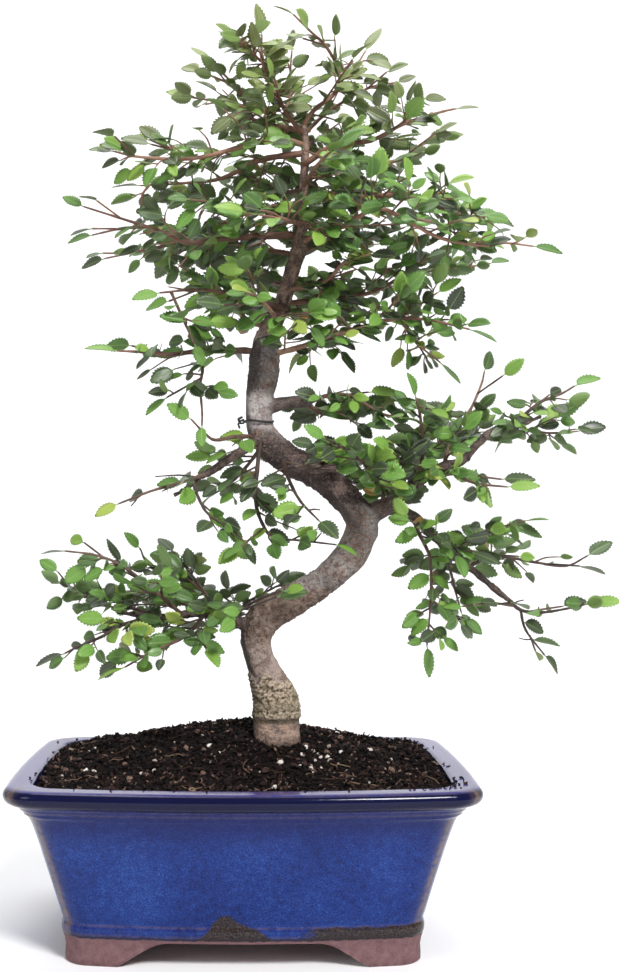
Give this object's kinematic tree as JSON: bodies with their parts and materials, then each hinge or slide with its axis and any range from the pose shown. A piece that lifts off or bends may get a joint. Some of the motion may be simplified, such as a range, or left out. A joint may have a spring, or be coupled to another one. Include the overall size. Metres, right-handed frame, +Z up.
{
  "type": "chinese elm bonsai in a glazed pot",
  "caption": "Small informal upright elm with a curved trunk and layered sprays of serrated leaves, in a blue glazed rectangular pot on corner feet.",
  "frame": {"origin": "middle of the bounding box on the ground that the pot's feet stand on", "axes": "+Z up, -Y the front that the picture shows, +X to the right of the picture, with the pot's long side along X"},
  "size_m": [0.2902, 0.1712, 0.4428],
  "materials": {
    "glazed_pot": "gloss",
    "plastic_mesh": "matte",
    "soil": "matte",
    "bark": "rough",
    "leaves": "satin"
  },
  "bodies": {
    "root": {"pot": "glazed_pot", "drain_screen_left": "plastic_mesh", "drain_screen_right": "plastic_mesh", "soil": "soil", "trunk": "bark", "spray_crown_back_a": "leaves", "spray_crown_back_b": "leaves", "spray_crown_back_c": "leaves", "spray_crown_back_d": "leaves", "spray_crown_back_e": "leaves", "spray_crown_front_a": "leaves", "spray_crown_front_b": "leaves", "spray_crown_front_c": "leaves", "spray_crown_left_b": "leaves", "spray_crown_left_back": "leaves", "spray_crown_left_c": "leaves", "spray_crown_left_e": "leaves", "spray_crown_left_f": "leaves", "spray_crown_left_g": "leaves", "spray_crown_left_h": "leaves", "spray_crown_left_low": "leaves", "spray_crown_left_mid": "leaves", "spray_crown_right_a": "leaves", "spray_crown_right_b": "leaves", "spray_crown_right_c": "leaves", "spray_crown_right_d": "leaves", "spray_crown_right_f": "leaves", "spray_crown_right_g": "leaves", "spray_crown_right_h": "leaves", "spray_crown_right_low": "leaves", "spray_crown_top_left": "leaves", "spray_crown_top_right": "leaves", "spray_crown_top_right_b": "leaves", "spray_low_right_a": "leaves", "spray_low_right_b": "leaves", "spray_low_right_c": "leaves", "spray_low_right_d": "leaves", "spray_low_right_e": "leaves", "spray_middle_left_a": "leaves", "spray_middle_left_b": "leaves", "spray_middle_left_d": "leaves", "spray_middle_left_e": "leaves", "spray_middle_left_f": "leaves", "spray_middle_right_a": "leaves", "spray_middle_right_b": "leaves", "spray_middle_right_c": "leaves", "spray_middle_right_d": "leaves", "spray_middle_right_e": "leaves", "spray_middle_right_f": "leaves", "spray_middle_right_h": "leaves", "spray_middle_right_i": "leaves", "spray_middle_right_j": "leaves", "spray_pad_left_a": "leaves", "spray_pad_left_b": "leaves", "spray_pad_left_c": "leaves", "spray_pad_left_d": "leaves", "spray_pad_left_e": "leaves", "spray_pad_left_f": "leaves", "spray_pad_left_g": "leaves", "spray_pad_left_h": "leaves"}
  },
  "joints": []
}
